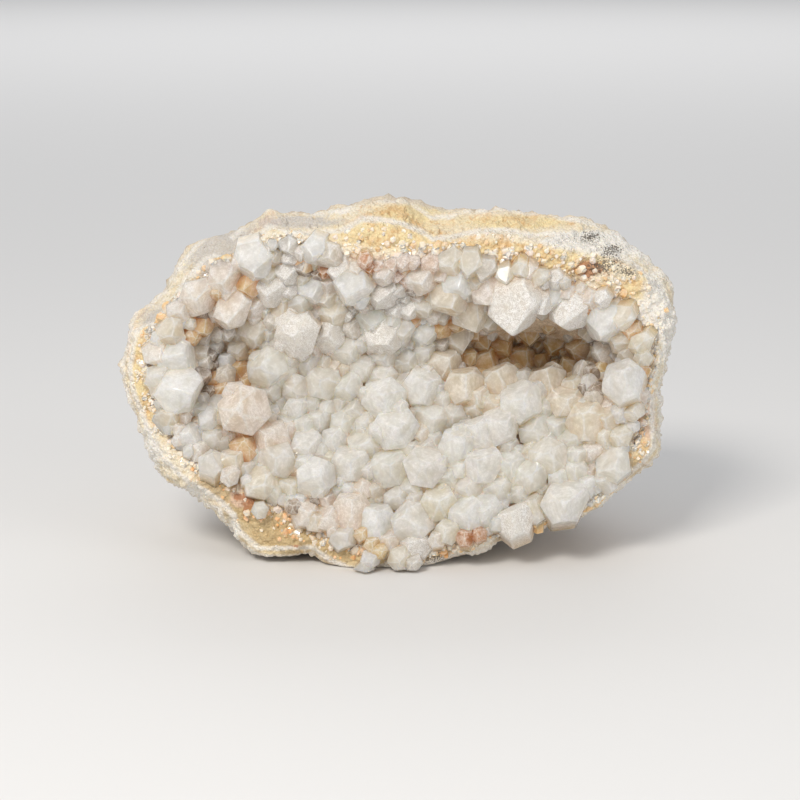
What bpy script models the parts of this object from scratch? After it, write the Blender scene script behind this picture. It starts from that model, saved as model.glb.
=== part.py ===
"""Quartz cluster: a lump of pale matrix rock whose open hollow is lined by one crust of milky quartz points.

The rock stands on a worn flat patch under it, with the hollow facing -Y. The front is laid out on a drawing, as it is
seen from a little above; a point is given by its place across and down the drawing, and by how deep it lies.
"""

import math
import random

import bmesh
import bpy
import numpy as np
from mathutils import Vector, noise

# The front drawing: its unit, the point in its middle, and where it is seen from
DRAWING_UNIT = 0.00027
DRAWING_MIDDLE = (400.0, 390.0)
SIGHT_HEIGHT = math.radians(12.0)
SIGHT_DISTANCE = 0.600
SIGHT_TARGET = Vector((0.0, 0.0, 0.0385))

# The rock, in metres: the leaning rim plane, how it falls away to both sides, and the back
RIM_TOP_Y = -0.026
RIM_FOOT_Y = -0.040
RIM_TOP_DOWN = 230.0
RIM_FOOT_DOWN = 570.0
SIDE_FALL_LEFT = 0.009
SIDE_FALL_RIGHT = 0.006
SIDE_REACH = 280.0
BACK_Y = 0.041
BACK_MIDDLE = (0.001, 0.043)

# The rim and the ledge behind it: the place of the band between lip and crest, how far the rounded crest and the
# ledge lie behind the rim plane, and the groove between them, whose drop is on the drawing
BAND_SHARE = 0.55
CREST_ROUNDING = 0.001
RIM_MARGIN = 4.0
LEDGE_DEPTH_TOP = 0.021
LEDGE_DEPTH_SIDE = 0.012
LEDGE_DEPTH_FOOT = 0.005
FLANK_SHARE = 0.65
FLANK_DEPTH_SHARE = 0.45
GROOVE_DEPTH = 0.010
GROOVE_DROP = 9.0

# How the back closes, as powers of a cosine: fuller at the foot, where it spreads, and slimmer at the top
SIDE_FULLNESS = 0.72
TOP_FULLNESS = 0.30
FOOT_FULLNESS = -0.34
FOOT_SPREAD = 0.22

# The hollow, in metres behind the rim plane
BOWL_DEPTH = 0.014
BOWL_POWER = 2.4
EDGE_FADE = 3.0
LIP_DEPTH = 0.0015
SLOT_DEPTH = 0.018
SLOT_PLACE = (530.0, 350.0)
SLOT_REACH = (78.0, 27.0)
POCKET_DEPTH = 0.007
POCKET_PLACE = (226.0, 352.0)
POCKET_REACH = (34.0, 30.0)
FLOOR_SWELL = 0.005
FLOOR_PLACE = (480.0, 480.0)
FLOOR_REACH = (110.0, 45.0)

# How finely the rock is faceted, and how rough it is
RIM_STEPS = 144
BED_STEPS = 36
SLOPE_STEP = 6.0
BED_RINGS = (0.17, 0.34, 0.50, 0.64, 0.78, 0.90)
LEDGE_RING = 4
BACK_STEPS = 48
BACK_RINGS = (0.10, 0.21, 0.33, 0.45, 0.57, 0.68, 0.79, 0.89, 0.97)
BLUNTING = 9
BLUNT_BY = 0.45
LUMP_SIZE = 0.027
LUMP_HEIGHT = 0.0085
FOLD_SIZE = 0.014
FOLD_HEIGHT = 0.0036
KNOB_SIZE = 0.0065
KNOB_HEIGHT = 0.0018

# The crust: the layer its crystals grow from, and the seam between it and the rock
CRUST_THICKNESS = 0.0024
CRUST_ROOT = 0.0020
CRUST_EDGE = 0.98
SEAM = 0.0004

# Quartz: how much wider a crystal is than what shows of it between its neighbours, how far all stand out, the slope
# of the faces at a point, the root in the rock, and how uneven a real crystal is
OVERLAP = 1.16
RISE = 0.10
POINT_SLOPE = math.radians(51.8)
SHOULDER_DROP = 0.62
ROOT_LENGTH = 0.3
LEAN_UNEVENNESS = 0.22
LEAN_PULL = 0.35
FRONT_PULL = 0.8
LIGHT_PULL = 0.1

# Each crystal has its own dice, seeded by its place on the drawing
DICE_STRIDE = 1000
SQUASH = 0.16
POINT_SHIFT = 0.13

# The outline of the rock on the front drawing, clockwise from its left end
OUTLINE = [
    (122, 365), (124, 384), (133, 409), (136, 422), (143, 433), (144, 451), (155, 473), (166, 482), (186, 491),
    (195, 491), (202, 504), (219, 509), (221, 518), (236, 540), (258, 556), (276, 557), (311, 554), (325, 567),
    (350, 571), (363, 582), (371, 581), (376, 575), (395, 578), (433, 570), (466, 557), (495, 545), (547, 525),
    (583, 517), (601, 509), (605, 502), (625, 485), (652, 462), (662, 451), (663, 443), (658, 435), (662, 422),
    (659, 412), (662, 404), (658, 389), (660, 381), (669, 361), (671, 350), (677, 338), (676, 310), (675, 294),
    (670, 279), (659, 266), (642, 253), (611, 232), (598, 225), (577, 220), (561, 218), (546, 211), (533, 214),
    (504, 208), (478, 211), (463, 212), (450, 217), (431, 217), (418, 208), (407, 201), (383, 200), (368, 197),
    (356, 203), (344, 211), (313, 214), (285, 211), (270, 204), (260, 214), (239, 230), (231, 239), (219, 232),
    (207, 236), (196, 246), (182, 262), (164, 290), (151, 305), (137, 308), (131, 322), (129, 339),
]

# The front rim on the same drawing
RIM = [
    (130, 365), (132, 386), (140, 409), (146, 425), (153, 440), (161, 457), (173, 467), (188, 481), (203, 490),
    (219, 500), (234, 515), (239, 531), (258, 548), (290, 548), (312, 547), (330, 560), (364, 573), (378, 567),
    (410, 566), (452, 556), (495, 537), (545, 519), (580, 510), (600, 500), (618, 482), (645, 460), (654, 447),
    (652, 425), (652, 404), (650, 385), (660, 360), (668, 338), (674, 320), (668, 301), (653, 281), (633, 264),
    (611, 252), (577, 243), (546, 233), (533, 236), (504, 230), (474, 232), (450, 238), (433, 239), (422, 232),
    (400, 223), (373, 219), (362, 219), (349, 227), (338, 231), (310, 234), (286, 232), (270, 225), (260, 236),
    (239, 257), (230, 260), (215, 255), (204, 260), (182, 286), (175, 301), (159, 321), (137, 330),
]

# The edge of the crystals on the same drawing
CRYSTAL_EDGE = [
    (152, 365), (154, 395), (160, 418), (172, 440), (192, 456), (215, 468), (250, 484), (290, 505), (325, 530),
    (370, 545), (410, 552), (450, 540), (500, 530), (545, 517), (580, 505), (608, 486), (625, 460), (638, 430),
    (640, 400), (646, 372), (648, 348), (630, 322), (600, 292), (570, 283), (540, 272), (500, 270), (460, 262),
    (430, 262), (385, 264), (340, 262), (310, 246), (270, 244), (240, 258), (212, 276), (190, 290), (166, 322),
    (154, 340),
]

# The crystals: across, down and width on the front drawing, how far each stands out, and its lean to the right and up
CEILING = [
    (199, 298, 30, 0.45, -0.3, 0.1), (232, 313, 36, 0.65, 0.5, 0.0), (225, 280, 27, 0.4, 0.0, 0.3),
    (254, 263, 31, 0.4, 0.1, 0.3), (288, 274, 23, 0.4, 0.0, 0.0), (270, 293, 26, 0.5, 0.1, -0.2),
    (312, 290, 24, 0.5, 0.0, -0.2), (302, 303, 22, 0.4, 0.2, -0.2), (280, 313, 22, 0.4, -0.2, -0.3),
    (350, 290, 36, 0.7, -0.2, -0.1), (383, 297, 25, 0.55, 0.1, -0.3), (420, 278, 27, 0.35, 0.1, 0.1),
    (332, 316, 24, 0.5, 0.1, -0.5), (459, 283, 28, 0.5, 0.1, 0.2), (451, 302, 34, 0.55, 0.5, -0.6),
    (472, 317, 29, 0.6, 0.1, -0.9), (488, 294, 27, 0.6, 0.0, -0.5), (515, 313, 50, 0.85, -0.1, -0.9),
    (548, 298, 27, 0.55, 0.0, -0.6), (569, 316, 38, 0.7, -0.1, -0.8), (602, 325, 36, 0.6, 0.1, -0.4),
]
LEFT_WALL = [
    (178, 357, 38, 0.45, 0.1, 0.3), (183, 391, 44, 0.55, 0.3, -0.2), (171, 416, 24, 0.35, -0.2, -0.3),
    (190, 436, 22, 0.45, 0.1, -0.1), (234, 462, 25, 0.55, 0.5, 0.1), (254, 335, 25, 0.6, 0.5, 0.1),
    (227, 388, 22, 0.4, 0.2, 0.2),
]
CENTRE = [
    (244, 410, 48, 0.75, -0.3, -0.1), (265, 366, 38, 0.65, 0.2, 0.0), (297, 336, 39, 0.75, 0.0, 0.2),
    (327, 338, 26, 0.55, 0.2, 0.2), (299, 407, 22, 0.55, 0.2, 0.3), (269, 438, 36, 0.6, -0.1, 0.2),
    (276, 458, 33, 0.65, 0.1, 0.0), (307, 444, 27, 0.7, 0.1, 0.3), (262, 482, 28, 0.5, -0.2, -0.2),
    (291, 487, 22, 0.45, 0.1, -0.1), (317, 476, 35, 0.8, 0.0, -0.4), (307, 363, 22, 0.5, 0.1, 0.1),
    (347, 352, 24, 0.5, 0.1, 0.1), (323, 382, 28, 0.6, 0.0, 0.5), (348, 387, 25, 0.6, 0.1, 0.2),
    (386, 357, 22, 0.5, 0.1, 0.2), (384, 399, 38, 0.75, 0.0, 0.3), (396, 427, 41, 0.8, 0.3, 0.3),
    (424, 385, 34, 0.75, 0.2, 0.4), (430, 419, 32, 0.6, 0.2, -0.1), (335, 441, 24, 0.65, 0.1, 0.4),
    (368, 441, 31, 0.65, -0.1, 0.2), (352, 463, 31, 0.75, 0.0, 0.7), (389, 467, 34, 0.7, 0.1, 0.3),
    (426, 467, 38, 0.75, 0.2, 0.2), (372, 318, 23, 0.5, 0.1, 0.1), (384, 338, 30, 0.6, -0.1, 0.3),
    (402, 335, 24, 0.55, 0.1, 0.2), (425, 335, 22, 0.5, 0.1, 0.1), (425, 352, 22, 0.5, 0.0, 0.2),
]
SLOT = [
    (459, 341, 24, 0.55, 0.1, -0.1), (447, 363, 28, 0.6, 0.1, 0.2), (466, 383, 37, 0.7, -0.1, 0.3),
    (531, 335, 22, 0.4, 0.0, -0.6), (578, 349, 24, 0.5, -0.2, -0.2), (502, 378, 34, 0.65, 0.1, 0.2),
    (546, 378, 34, 0.7, 0.1, 0.3),
]
FLOOR = [
    (520, 400, 39, 0.8, 0.1, 0.6), (500, 426, 38, 0.7, 0.0, 0.3), (535, 428, 29, 0.6, 0.2, 0.3),
    (476, 433, 34, 0.75, -0.5, 0.5), (457, 443, 37, 0.75, 0.0, 0.3), (475, 409, 22, 0.5, 0.1, 0.2),
    (484, 463, 32, 0.8, 0.1, 0.7), (511, 465, 25, 0.65, 0.1, 0.4), (531, 475, 28, 0.65, 0.0, 0.3),
    (549, 456, 31, 0.65, 0.1, 0.3), (565, 400, 27, 0.6, 0.0, 0.2), (586, 421, 32, 0.7, 0.0, 0.5),
    (606, 420, 24, 0.55, -0.1, 0.1), (622, 379, 40, 0.8, -0.1, 0.6), (557, 425, 24, 0.5, 0.0, 0.2),
    (571, 439, 22, 0.55, 0.1, 0.3), (612, 464, 29, 0.5, 0.1, 0.1), (498, 490, 24, 0.55, 0.0, 0.1),
    (565, 500, 46, 0.45, 0.0, 0.3), (514, 518, 29, 0.6, 0.1, 0.0), (484, 512, 28, 0.6, 0.1, 0.2),
    (535, 507, 23, 0.5, 0.1, 0.2), (470, 487, 26, 0.6, -0.1, 0.3),
]
FOOT = [
    (411, 520, 36, 0.7, -0.2, 0.1), (376, 520, 32, 0.65, 0.1, 0.2), (351, 511, 34, 0.65, -0.1, 0.3),
    (414, 545, 24, 0.5, 0.0, -0.2), (438, 503, 33, 0.65, 0.0, 0.3), (466, 514, 32, 0.7, 0.1, 0.3),
    (388, 541, 22, 0.45, 0.0, -0.1), (306, 511, 22, 0.5, 0.0, 0.1),
]


def clear_scene():
    for obj in list(bpy.data.objects):
        bpy.data.objects.remove(obj, do_unlink=True)


def drawn_point(across, down, y):
    """The point in space, at the given y, that the front drawing shows at a place."""
    ahead = Vector((0.0, math.cos(SIGHT_HEIGHT), -math.sin(SIGHT_HEIGHT)))
    upward = Vector((0.0, math.sin(SIGHT_HEIGHT), math.cos(SIGHT_HEIGHT)))
    right = Vector((1.0, 0.0, 0.0))
    eye = SIGHT_TARGET - ahead * SIGHT_DISTANCE
    step = DRAWING_UNIT / SIGHT_DISTANCE
    ray = ahead + right * (across - DRAWING_MIDDLE[0]) * step + upward * (DRAWING_MIDDLE[1] - down) * step
    return eye + ray * ((y - eye.y) / ray.y)


def outline_reach(points):
    """The distance from the middle of the drawing to a drawn outline, as a function of the angle."""
    across = np.array([p[0] for p in points]) - DRAWING_MIDDLE[0]
    up = DRAWING_MIDDLE[1] - np.array([p[1] for p in points])
    angles = np.arctan2(up, across)
    reach = np.hypot(across, up)
    return lambda angle: float(np.interp(angle, angles, reach, period=2 * math.pi))


OUTLINE_REACH = outline_reach(OUTLINE)
RIM_REACH = outline_reach(RIM)
CRYSTAL_REACH = outline_reach(CRYSTAL_EDGE)


def drawing_place(angle, reach):
    """A place on the drawing, from its angle and distance from the middle."""
    return DRAWING_MIDDLE[0] + reach * math.cos(angle), DRAWING_MIDDLE[1] - reach * math.sin(angle)


def mix(start, end, share):
    return start + (end - start) * share


def smooth_step(value, low, high):
    t = min(max((value - low) / (high - low), 0.0), 1.0)
    return t * t * (3 - 2 * t)


def rim_y(across, down):
    """The y of the rim plane, which leans back and falls away to both sides."""
    lean = (RIM_FOOT_DOWN - down) / (RIM_FOOT_DOWN - RIM_TOP_DOWN)
    aside = (across - DRAWING_MIDDLE[0]) / SIDE_REACH
    fall = SIDE_FALL_RIGHT if aside > 0 else SIDE_FALL_LEFT
    return RIM_FOOT_Y + (RIM_TOP_Y - RIM_FOOT_Y) * lean + fall * aside * aside


def swell(across, down, place, reach):
    """A smooth swelling, 1 at its place and fading out over its reach."""
    return math.exp(-((across - place[0]) / reach[0]) ** 2 - ((down - place[1]) / reach[1]) ** 2)


def bed_y(across, down):
    """The y of the hollow's bed, which the crystals stand on."""
    angle = math.atan2(DRAWING_MIDDLE[1] - down, across - DRAWING_MIDDLE[0])
    inward = math.hypot(across - DRAWING_MIDDLE[0], DRAWING_MIDDLE[1] - down) / CRYSTAL_REACH(angle)
    open_share = max(1.0 - inward ** BOWL_POWER, 0.0)
    fade = min(1.0, EDGE_FADE * open_share)
    depth = LIP_DEPTH + BOWL_DEPTH * open_share
    depth += SLOT_DEPTH * swell(across, down, SLOT_PLACE, SLOT_REACH) * fade
    depth += POCKET_DEPTH * swell(across, down, POCKET_PLACE, POCKET_REACH) * fade
    depth -= FLOOR_SWELL * swell(across, down, FLOOR_PLACE, FLOOR_REACH) * open_share
    return rim_y(across, down) + depth


def bed_point(across, down):
    return drawn_point(across, down, bed_y(across, down))


def bed_normal(across, down):
    """The direction in which the bed faces, out of the hollow."""
    sideways = bed_point(across + SLOPE_STEP, down) - bed_point(across - SLOPE_STEP, down)
    upward = bed_point(across, down - SLOPE_STEP) - bed_point(across, down + SLOPE_STEP)
    return sideways.cross(upward).normalized()


def bed_rings(shares):
    """The rings of the bed, each at a share of the way from its middle out to the edge of the crystals."""
    rings = []
    for share in shares:
        ring = []
        for i in range(BED_STEPS):
            angle = 2 * math.pi * i / BED_STEPS
            ring.append(bed_point(*drawing_place(angle, share * CRYSTAL_REACH(angle))))
        rings.append(ring)
    return rings


def blunted_ring(ring):
    """A ring with its notches and knobs evened out."""
    soft = []
    for i in range(len(ring)):
        near = [ring[(i + k) % len(ring)] for k in range(-BLUNTING, BLUNTING + 1)]
        soft.append(sum(near, Vector()) / len(near))
    return soft


def rock_rings():
    """The fine rings of the rock: lip, band, rim, groove, ledge, and the rings of its back."""
    angles = [2 * math.pi * i / RIM_STEPS for i in range(RIM_STEPS)]
    lip, band, rim, groove, ledge = [], [], [], [], []
    for angle in angles:
        upness = smooth_step(math.sin(angle), 0.15, 0.55)
        footness = smooth_step(-math.sin(angle), 0.25, 0.75)
        inner = min(CRYSTAL_REACH(angle), RIM_REACH(angle) - RIM_MARGIN)
        place = drawing_place(angle, inner)
        lip.append(drawn_point(*place, rim_y(*place) + LIP_DEPTH))
        place = drawing_place(angle, mix(inner, RIM_REACH(angle), BAND_SHARE))
        band.append(drawn_point(*place, rim_y(*place)))
        place = drawing_place(angle, RIM_REACH(angle))
        crest_y = rim_y(*place)
        rim.append(drawn_point(*place, crest_y + CREST_ROUNDING))
        ledge_depth = mix(mix(LEDGE_DEPTH_SIDE, LEDGE_DEPTH_TOP, upness), LEDGE_DEPTH_FOOT, footness)
        flank = mix(RIM_REACH(angle), OUTLINE_REACH(angle), FLANK_SHARE)
        place = drawing_place(angle, mix(flank, RIM_REACH(angle) - GROOVE_DROP, upness))
        groove.append(drawn_point(*place, crest_y + mix(ledge_depth * FLANK_DEPTH_SHARE, GROOVE_DEPTH, upness)))
        place = drawing_place(angle, OUTLINE_REACH(angle))
        ledge.append(drawn_point(*place, crest_y + ledge_depth))
    rings = [lip, band, rim, groove, ledge]
    blunt = blunted_ring(ledge)
    for share in BACK_RINGS:
        ring = []
        for angle, sharp, soft in zip(angles, ledge, blunt):
            start = sharp.lerp(soft, smooth_step(share, 0.0, BLUNT_BY))
            footness = smooth_step(-math.sin(angle), 0.0, 0.5)
            fullness = SIDE_FULLNESS + TOP_FULLNESS * max(math.sin(angle), 0.0) + FOOT_FULLNESS * footness
            shrink = math.cos(share * math.pi / 2) ** fullness
            drop = shrink * (1.0 + FOOT_SPREAD * footness * math.sin(share * math.pi))
            x = mix(BACK_MIDDLE[0], start.x, shrink)
            z = mix(BACK_MIDDLE[1], start.z, drop)
            ring.append(Vector((x, mix(start.y, BACK_Y, math.sin(share * math.pi / 2)), z)))
        rings.append(ring[::RIM_STEPS // BACK_STEPS])
    return rings


def relief_at(point, behind):
    """The relief of broken rock at a point: knobs in front, lumps and folds where the rock faces back."""
    height = behind * LUMP_HEIGHT * noise.noise(point / LUMP_SIZE)
    height += behind * FOLD_HEIGHT * noise.noise(point / FOLD_SIZE + Vector((5.3, 2.9, 8.1)))
    height += (1 - behind) * KNOB_HEIGHT * noise.noise(point / KNOB_SIZE + Vector((3.1, 7.7, 1.3)))
    return height


def add_ring(bm, ring):
    return [bm.verts.new(p) for p in ring]


def join_rings(bm, inner, outer):
    """Join two rings. The finer one has a whole number of points for each point of the coarser one."""
    coarse, fine = (inner, outer) if len(inner) <= len(outer) else (outer, inner)
    ratio = len(fine) // len(coarse)
    faces = []
    for i, near in enumerate(coarse):
        start = i * ratio
        after = coarse[(i + 1) % len(coarse)]
        middle = start + ratio // 2
        faces += [(near, fine[k], fine[k + 1]) for k in range(start, middle)]
        faces.append((near, fine[middle], after))
        faces += [(after, fine[k], fine[(k + 1) % len(fine)]) for k in range(middle, start + ratio)]
    for corners in faces:
        bm.faces.new(corners if coarse is inner else corners[::-1])


def close_ring(bm, ring, point, facing_front):
    """Close a ring with a fan of faces around one point, and return its middle."""
    hub = bm.verts.new(point)
    for a, b in zip(ring, ring[1:] + ring[:1]):
        bm.faces.new((hub, a, b) if facing_front else (hub, b, a))
    return hub


def mesh_object(name, bm, material):
    mesh = bpy.data.meshes.new(name)
    bm.to_mesh(mesh)
    bm.free()
    obj = bpy.data.objects.new(name, mesh)
    bpy.context.scene.collection.objects.link(obj)
    if material:
        mesh.materials.append(material)
    return obj


def stone_material(name, colour, roughness):
    material = bpy.data.materials.new(name)
    material.use_nodes = True
    shader = material.node_tree.nodes["Principled BSDF"]
    shader.inputs["Base Color"].default_value = (*colour, 1.0)
    shader.inputs["Roughness"].default_value = roughness
    shader.inputs["Metallic"].default_value = 0.0
    return material


def rock_shape():
    """The rock as a closed mesh, with relief and a worn flat patch at the bottom."""
    bm = bmesh.new()
    bed = [add_ring(bm, ring) for ring in bed_rings(BED_RINGS)]
    rock = [add_ring(bm, ring) for ring in rock_rings()]
    close_ring(bm, bed[0], bed_point(*DRAWING_MIDDLE), True)
    for inner, outer in zip(bed + rock[:-1], bed[1:] + rock):
        join_rings(bm, inner, outer)
    hub = close_ring(bm, rock[-1], Vector((BACK_MIDDLE[0], BACK_Y, BACK_MIDDLE[1])), False)
    bm.normal_update()
    relief = {}
    for ring_index, ring in enumerate(rock):
        behind = smooth_step(ring_index, LEDGE_RING, LEDGE_RING + 4)
        for vertex in ring:
            relief[vertex] = vertex.normal * relief_at(vertex.co, behind)
    for vertex, offset in relief.items():
        vertex.co += offset
    hub.co = sum((vertex.co for vertex in rock[-1]), Vector()) / len(rock[-1])
    for vertex in bm.verts:
        vertex.co.z = max(vertex.co.z, 0.0)
    return bm


def crust_layer():
    """The layer under the crystals, from inside the rock to just in front of the bed."""
    bm = bmesh.new()
    edges = []
    for shift in (Vector((0, -CRUST_THICKNESS, 0)), Vector((0, CRUST_ROOT, 0))):
        rings = [add_ring(bm, [p + shift for p in ring]) for ring in bed_rings(BED_RINGS + (CRUST_EDGE,))]
        close_ring(bm, rings[0], bed_point(*DRAWING_MIDDLE) + shift, True)
        for inner, outer in zip(rings, rings[1:]):
            join_rings(bm, inner, outer)
        edges.append(rings[-1])
    join_rings(bm, *edges)
    bmesh.ops.recalc_face_normals(bm, faces=bm.faces[:])
    return bm


def add_crystal(bm, head, axis, width, root, dice):
    """Add one quartz crystal: a six-sided prism with a six-sided point, squashed and uneven as real ones are."""
    across = axis.orthogonal().normalized()
    beside = axis.cross(across)
    twist = dice.uniform(0, math.pi / 3)
    squash = 1 - dice.uniform(0, SQUASH)
    shift = [dice.uniform(-POINT_SHIFT, POINT_SHIFT) * width for _ in range(2)]
    corner_reach = width / math.sqrt(3)
    point_height = 0.5 * width * math.tan(POINT_SLOPE)
    shoulder = head - axis * (SHOULDER_DROP - 0.5) * point_height
    rings = []
    for centre in (head - axis * root, shoulder):
        ring = []
        for k in range(6):
            around = twist + k * math.pi / 3
            sideways = across * math.cos(around) + beside * (math.sin(around) * squash)
            ring.append(bm.verts.new(centre + sideways * corner_reach))
        rings.append(ring)
    point = bm.verts.new(shoulder + axis * point_height + across * shift[0] + beside * shift[1])
    bottom, top = rings
    bm.faces.new(bottom[::-1])
    for k in range(6):
        after = (k + 1) % 6
        bm.faces.new((bottom[k], bottom[after], top[after], top[k]))
        bm.faces.new((top[k], top[after], point))


def crystal_placing(across, down, width, proud, lean_right, lean_up, dice):
    """The head point, axis, real width and root length of a crystal that grows from the bed."""
    real_width = width * DRAWING_UNIT * OVERLAP
    outward = bed_normal(across, down)
    axis = outward + Vector((LEAN_PULL * lean_right, -FRONT_PULL, LEAN_PULL * lean_up + LIGHT_PULL))
    axis += Vector([dice.uniform(-LEAN_UNEVENNESS, LEAN_UNEVENNESS) for _ in range(3)])
    axis.normalize()
    y = bed_y(across, down) - real_width * (proud + RISE)
    root = real_width * (proud + RISE + ROOT_LENGTH)
    return drawn_point(across, down, y), axis, real_width, root


def shell_of(start):
    """All the points that hang together with one."""
    found = {start}
    waiting = [start]
    while waiting:
        vertex = waiting.pop()
        for edge in vertex.link_edges:
            other = edge.other_vert(vertex)
            if other not in found:
                found.add(other)
                waiting.append(other)
    return found


def keep_largest_shell(obj):
    """Turn an object's modifiers into its mesh, without chips and small sealed gaps between crystals."""
    bm = bmesh.new()
    bm.from_object(obj, bpy.context.evaluated_depsgraph_get())
    obj.modifiers.clear()
    left = set(bm.verts)
    shells = []
    while left:
        shells.append(shell_of(next(iter(left))))
        left -= shells[-1]
    shells.sort(key=len)
    loose = [vertex for shell in shells[:-1] for vertex in shell]
    bmesh.ops.delete(bm, geom=loose, context="VERTS")
    bm.to_mesh(obj.data)
    bm.free()


def make_matrix():
    material = stone_material("pale matrix rock", (0.78, 0.68, 0.53), 0.85)
    obj = mesh_object("matrix", rock_shape(), material)
    return obj


def make_crust():
    """One solid crust: the layer and its crystals, cut back to leave a seam along the rock."""
    crystals = bmesh.new()
    for row in CEILING + LEFT_WALL + CENTRE + SLOT + FLOOR + FOOT:
        dice = random.Random(DICE_STRIDE * row[0] + row[1])
        head, axis, width, root = crystal_placing(*row, dice)
        add_crystal(crystals, head, axis, width, root, dice)
    points = mesh_object("crystal points", crystals, None)
    seam = rock_shape()
    seam.normal_update()
    offsets = {v: v.normal * SEAM for v in seam.verts}
    for vertex, offset in offsets.items():
        vertex.co += offset
    seam_cutter = mesh_object("seam cutter", seam, None)
    material = stone_material("milky quartz", (0.88, 0.84, 0.78), 0.25)
    crust = mesh_object("crystal_crust", crust_layer(), material)
    grow = crust.modifiers.new("grow crystals", "BOOLEAN")
    grow.operation = "UNION"
    grow.solver = "EXACT"
    grow.use_self = True
    grow.object = points
    part = crust.modifiers.new("part from rock", "BOOLEAN")
    part.operation = "DIFFERENCE"
    part.solver = "EXACT"
    part.object = seam_cutter
    keep_largest_shell(crust)
    for helper in (points, seam_cutter):
        bpy.data.objects.remove(helper, do_unlink=True)
    return crust


def main():
    clear_scene()
    make_matrix()
    make_crust()


main()
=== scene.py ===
import itertools
import math
import random

import bmesh
import bpy
import numpy as np
from mathutils import Matrix, Vector, noise
from mathutils.bvhtree import BVHTree


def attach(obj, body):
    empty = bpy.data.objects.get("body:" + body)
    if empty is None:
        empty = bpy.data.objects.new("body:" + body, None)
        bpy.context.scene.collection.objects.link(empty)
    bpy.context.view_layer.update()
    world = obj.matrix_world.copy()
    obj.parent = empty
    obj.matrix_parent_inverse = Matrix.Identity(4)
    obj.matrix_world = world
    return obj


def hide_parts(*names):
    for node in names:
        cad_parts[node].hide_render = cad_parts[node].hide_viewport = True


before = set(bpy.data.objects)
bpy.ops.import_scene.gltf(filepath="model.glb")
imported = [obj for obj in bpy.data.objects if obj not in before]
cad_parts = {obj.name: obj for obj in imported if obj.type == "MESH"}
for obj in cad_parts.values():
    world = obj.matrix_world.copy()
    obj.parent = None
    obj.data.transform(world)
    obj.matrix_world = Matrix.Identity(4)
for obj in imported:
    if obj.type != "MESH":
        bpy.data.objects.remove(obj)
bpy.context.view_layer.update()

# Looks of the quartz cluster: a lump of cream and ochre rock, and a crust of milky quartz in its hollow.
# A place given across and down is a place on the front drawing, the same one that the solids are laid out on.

MM = 1000

# The front drawing: its unit, the point in its middle, and where it is seen from
DRAWING_UNIT = 0.00027
DRAWING_MIDDLE = (400.0, 390.0)
PICTURE_MIDDLE = (400.0, 400.0)
PICTURE_WIDTH = 800
SIGHT_HEIGHT = math.radians(12.0)
SIGHT_DISTANCE = 0.600
SIGHT_TARGET = Vector((0.0, 0.0, 0.0385))
AHEAD = Vector((0.0, math.cos(SIGHT_HEIGHT), -math.sin(SIGHT_HEIGHT)))
UPWARD = Vector((0.0, math.sin(SIGHT_HEIGHT), math.cos(SIGHT_HEIGHT)))
EYE = SIGHT_TARGET - AHEAD * SIGHT_DISTANCE
SENSOR = 36.0

# The rim plane and the hollow, as in the solids
RIM_TOP_Y = -0.026
RIM_FOOT_Y = -0.040
RIM_TOP_DOWN = 230.0
RIM_FOOT_DOWN = 570.0
SIDE_FALL_LEFT = 0.009
SIDE_FALL_RIGHT = 0.006
SIDE_REACH = 280.0
BOWL_DEPTH = 0.014
BOWL_POWER = 2.4
EDGE_FADE = 3.0
LIP_DEPTH = 0.0015
SLOT_DEPTH = 0.018
SLOT_PLACE = (530.0, 350.0)
SLOT_REACH = (78.0, 27.0)
POCKET_DEPTH = 0.007
POCKET_PLACE = (226.0, 352.0)
POCKET_REACH = (34.0, 30.0)
FLOOR_SWELL = 0.005
FLOOR_PLACE = (480.0, 480.0)
FLOOR_REACH = (110.0, 45.0)
SLOPE_STEP = 6.0
CRUST_THICKNESS = 0.0024
CRUST_ROOT = 0.0020

# How crystals stand, as in the solids
OVERLAP = 1.16
RISE = 0.10
POINT_SLOPE = math.radians(51.8)
SHOULDER_DROP = 0.62
ROOT_LENGTH = 0.3
LEAN_UNEVENNESS = 0.22
LEAN_PULL = 0.35
FRONT_PULL = 0.8
LIGHT_PULL = 0.1
SQUASH = 0.16
POINT_SHIFT = 0.13
DICE_STRIDE = 1000

OUTLINE = [
    (122, 365), (124, 384), (133, 409), (136, 422), (143, 433), (144, 451), (155, 473), (166, 482),
    (186, 491), (195, 491), (202, 504), (219, 509), (221, 518), (236, 540), (258, 556), (276, 557),
    (311, 554), (325, 567), (350, 571), (363, 582), (371, 581), (376, 575), (395, 578), (433, 570),
    (466, 557), (495, 545), (547, 525), (583, 517), (601, 509), (605, 502), (625, 485), (652, 462),
    (662, 451), (663, 443), (658, 435), (662, 422), (659, 412), (662, 404), (658, 389), (660, 381),
    (669, 361), (671, 350), (677, 338), (676, 310), (675, 294), (670, 279), (659, 266), (642, 253),
    (611, 232), (598, 225), (577, 220), (561, 218), (546, 211), (533, 214), (504, 208), (478, 211),
    (463, 212), (450, 217), (431, 217), (418, 208), (407, 201), (383, 200), (368, 197), (356, 203),
    (344, 211), (313, 214), (285, 211), (270, 204), (260, 214), (239, 230), (231, 239), (219, 232),
    (207, 236), (196, 246), (182, 262), (164, 290), (151, 305), (137, 308), (131, 322), (129, 339),
]
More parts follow.
